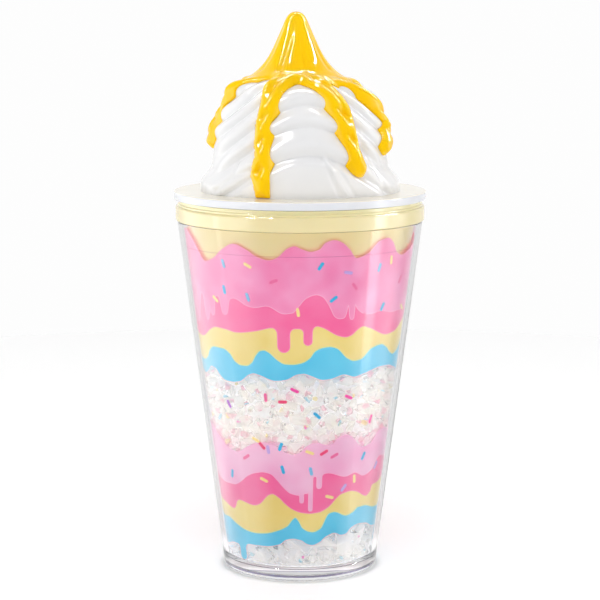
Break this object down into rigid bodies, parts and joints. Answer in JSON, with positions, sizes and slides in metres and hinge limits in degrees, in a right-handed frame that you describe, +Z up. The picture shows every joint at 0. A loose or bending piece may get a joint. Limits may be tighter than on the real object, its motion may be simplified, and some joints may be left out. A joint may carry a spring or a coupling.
{
  "type": "sundae-shaped tumbler",
  "caption": "Clear double-walled tumbler made to look like a layered sundae, with a flat lid that carries a white swirl and poured yellow syrup.",
  "frame": {"origin": "middle of the tumbler's foot, on the surface it stands on", "axes": "+Z up along the tumbler's axis, -Y towards the front of the swirl, +X to the viewer's right"},
  "size_m": [0.104, 0.104, 0.2311],
  "materials": {
    "clear_shell": "clear polished",
    "printed_film": "printed film in wavy pink, yellow and blue fields",
    "clear_granules": "clear crushed",
    "frosted_cup": "frosted white",
    "pale_yellow_plastic": "glossy moulded",
    "ivory_plastic": "glossy moulded",
    "white_plastic": "glossy moulded",
    "syrup_enamel": "high gloss poured look"
  },
  "bodies": {
    "root": {"outer_shell": "clear_shell", "print_sleeve": "printed_film", "ice_granules": "clear_granules", "inner_cup": "frosted_cup", "rim_ring": "pale_yellow_plastic", "lid": "ivory_plastic", "swirl": "white_plastic", "syrup": "syrup_enamel"}
  },
  "joints": []
}
